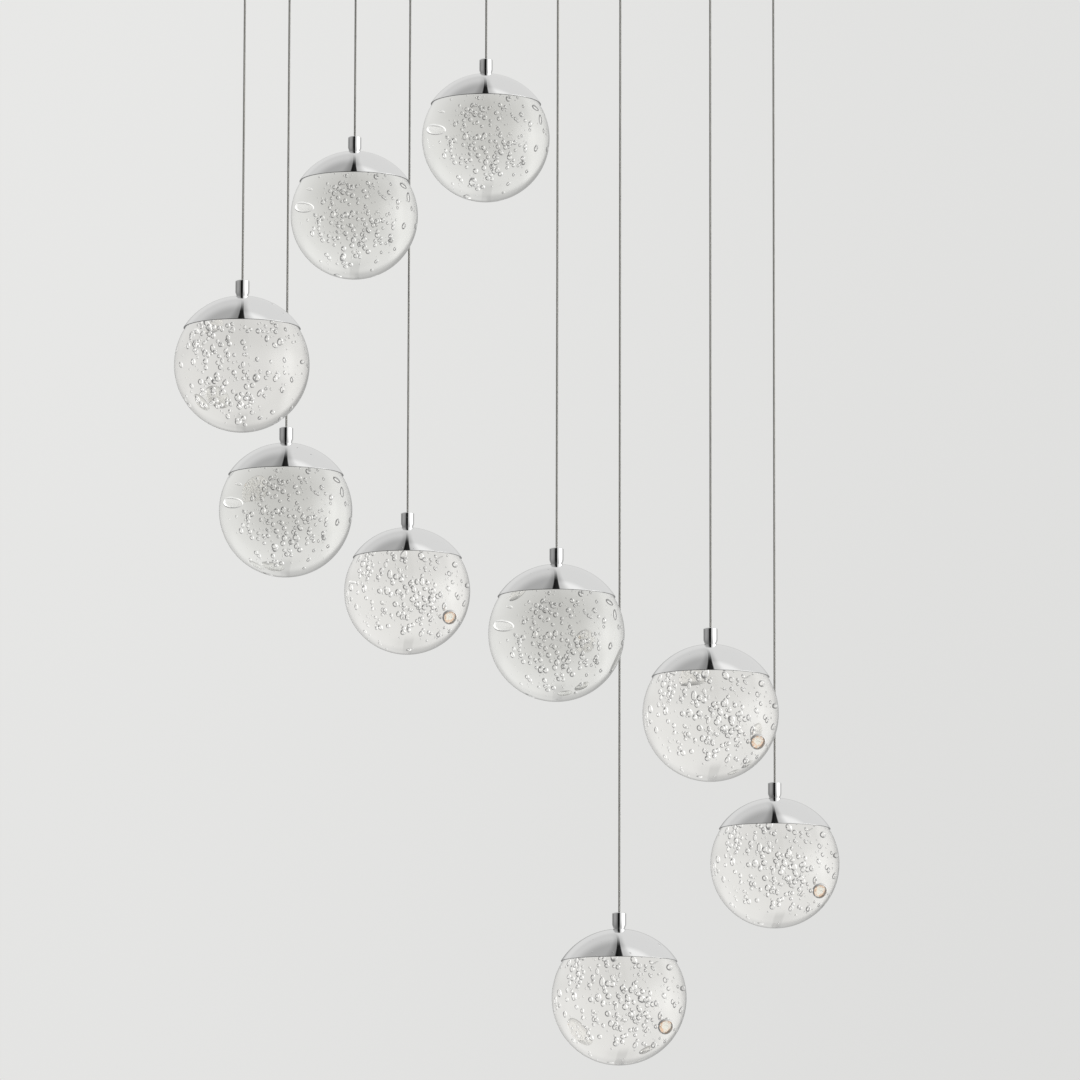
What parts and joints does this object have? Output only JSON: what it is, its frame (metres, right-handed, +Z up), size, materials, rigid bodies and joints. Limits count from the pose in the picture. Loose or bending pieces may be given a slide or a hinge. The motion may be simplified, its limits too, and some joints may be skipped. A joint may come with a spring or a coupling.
{
  "type": "cluster pendant light",
  "caption": "Cluster pendant light: clear bubble-glass globes with chrome dome caps, hung at staggered heights on thin cables from a round ceiling canopy.",
  "frame": {"origin": "on the ceiling plane, at the centre of the mounting cross's screw circle, which is the middle of the round canopy", "axes": "+Z up into the ceiling, +X to the right and +Y to the back as the light is seen in the picture"},
  "size_m": [0.58, 0.58, 0.943],
  "materials": {
    "bubble_glass": "polished solid glass with trapped air bubbles",
    "polished_chrome": "mirror-polished chrome plate",
    "cable_jacket": "clear jacket over tinned braid",
    "milled_aluminium": "milled",
    "board_white": "white solder mask",
    "zinc_steel": "zinc plated",
    "driver_case": "fine moulded texture"
  },
  "bodies": {
    "canopy": {"canopy_plate": "polished_chrome", "canopy_band": "polished_chrome", "mounting_cross": "zinc_steel", "cap_nuts": "polished_chrome", "cable_grips": "polished_chrome", "led_driver": "driver_case"},
    "hanging_cable_1": {"cable_1": "cable_jacket"},
    "lamp_1": {"ferrule_1": "polished_chrome", "cap_1": "polished_chrome", "lamp_holder_1": "milled_aluminium", "led_board_1": "board_white", "globe_1": "bubble_glass"},
    "hanging_cable_2": {"cable_2": "cable_jacket"},
    "lamp_2": {"ferrule_2": "polished_chrome", "cap_2": "polished_chrome", "lamp_holder_2": "milled_aluminium", "led_board_2": "board_white", "globe_2": "bubble_glass"},
    "hanging_cable_3": {"cable_3": "cable_jacket"},
    "lamp_3": {"ferrule_3": "polished_chrome", "cap_3": "polished_chrome", "lamp_holder_3": "milled_aluminium", "led_board_3": "board_white", "globe_3": "bubble_glass"},
    "hanging_cable_4": {"cable_4": "cable_jacket"},
    "lamp_4": {"ferrule_4": "polished_chrome", "cap_4": "polished_chrome", "lamp_holder_4": "milled_aluminium", "led_board_4": "board_white", "globe_4": "bubble_glass"},
    "hanging_cable_5": {"cable_5": "cable_jacket"},
    "lamp_5": {"ferrule_5": "polished_chrome", "cap_5": "polished_chrome", "lamp_holder_5": "milled_aluminium", "led_board_5": "board_white", "globe_5": "bubble_glass"},
    "hanging_cable_6": {"cable_6": "cable_jacket"},
    "lamp_6": {"ferrule_6": "polished_chrome", "cap_6": "polished_chrome", "lamp_holder_6": "milled_aluminium", "led_board_6": "board_white", "globe_6": "bubble_glass"},
    "hanging_cable_7": {"cable_7": "cable_jacket"},
    "lamp_7": {"ferrule_7": "polished_chrome", "cap_7": "polished_chrome", "lamp_holder_7": "milled_aluminium", "led_board_7": "board_white", "globe_7": "bubble_glass"},
    "hanging_cable_8": {"cable_8": "cable_jacket"},
    "lamp_8": {"ferrule_8": "polished_chrome", "cap_8": "polished_chrome", "lamp_holder_8": "milled_aluminium", "led_board_8": "board_white", "globe_8": "bubble_glass"},
    "hanging_cable_9": {"cable_9": "cable_jacket"},
    "lamp_9": {"ferrule_9": "polished_chrome", "cap_9": "polished_chrome", "lamp_holder_9": "milled_aluminium", "led_board_9": "board_white", "globe_9": "bubble_glass"}
  },
  "joints": [
    {"name": "swing_1", "type": "hinge", "parent": "canopy", "child": "hanging_cable_1", "pos_m": [-0.17542, -0.19593, -0.0592], "axis": [1, 0, 0], "range_deg": [-6, 6]},
    {"name": "height_1", "type": "slide", "parent": "hanging_cable_1", "child": "lamp_1", "axis": [0, 0, 1], "range_m": [-1.06672, 0.25], "deforming": ["cable_1"]},
    {"name": "swing_2", "type": "hinge", "parent": "canopy", "child": "hanging_cable_2", "pos_m": [-0.14586, -0.091, -0.0592], "axis": [1, 0, 0], "range_deg": [-6, 6]},
    {"name": "height_2", "type": "slide", "parent": "hanging_cable_2", "child": "lamp_2", "axis": [0, 0, 1], "range_m": [-0.97349, 0.344], "deforming": ["cable_2"]},
    {"name": "swing_3", "type": "hinge", "parent": "canopy", "child": "hanging_cable_3", "pos_m": [-0.10165, 0.13808, -0.0592], "axis": [1, 0, 0], "range_deg": [-6, 6]},
    {"name": "height_3", "type": "slide", "parent": "hanging_cable_3", "child": "lamp_3", "axis": [0, 0, 1], "range_m": [-1.24183, 0.075], "deforming": ["cable_3"]},
    {"name": "swing_4", "type": "hinge", "parent": "canopy", "child": "hanging_cable_4", "pos_m": [-0.06031, 0.23802, -0.0592], "axis": [1, 0, 0], "range_deg": [-6, 6]},
    {"name": "height_4", "type": "slide", "parent": "hanging_cable_4", "child": "lamp_4", "axis": [0, 0, 1], "range_m": [-0.9575, 0.36], "deforming": ["cable_4"]},
    {"name": "swing_5", "type": "hinge", "parent": "canopy", "child": "hanging_cable_5", "pos_m": [0.00166, 0.11388, -0.0592], "axis": [1, 0, 0], "range_deg": [-6, 6]},
    {"name": "height_5", "type": "slide", "parent": "hanging_cable_5", "child": "lamp_5", "axis": [0, 0, 1], "range_m": [-1.29925, 0.018], "deforming": ["cable_5"]},
    {"name": "swing_6", "type": "hinge", "parent": "canopy", "child": "hanging_cable_6", "pos_m": [0.05723, -0.20409, -0.0592], "axis": [1, 0, 0], "range_deg": [-6, 6]},
    {"name": "height_6", "type": "slide", "parent": "hanging_cable_6", "child": "lamp_6", "axis": [0, 0, 1], "range_m": [-0.86624, 0.451], "deforming": ["cable_6"]},
    {"name": "swing_7", "type": "hinge", "parent": "canopy", "child": "hanging_cable_7", "pos_m": [0.10459, -0.10599, -0.0592], "axis": [1, 0, 0], "range_deg": [-6, 6]},
    {"name": "height_7", "type": "slide", "parent": "hanging_cable_7", "child": "lamp_7", "axis": [0, 0, 1], "range_m": [-0.607, 0.71], "deforming": ["cable_7"]},
    {"name": "swing_8", "type": "hinge", "parent": "canopy", "child": "hanging_cable_8", "pos_m": [0.1705, -0.19199, -0.0592], "axis": [1, 0, 0], "range_deg": [-6, 6]},
    {"name": "height_8", "type": "slide", "parent": "hanging_cable_8", "child": "lamp_8", "axis": [0, 0, 1], "range_m": [-0.80891, 0.508], "deforming": ["cable_8"]},
    {"name": "swing_9", "type": "hinge", "parent": "canopy", "child": "hanging_cable_9", "pos_m": [0.2276, 0.12598, -0.0592], "axis": [1, 0, 0], "range_deg": [-6, 6]},
    {"name": "height_9", "type": "slide", "parent": "hanging_cable_9", "child": "lamp_9", "axis": [0, 0, 1], "range_m": [-0.73023, 0.587], "deforming": ["cable_9"]}
  ]
}
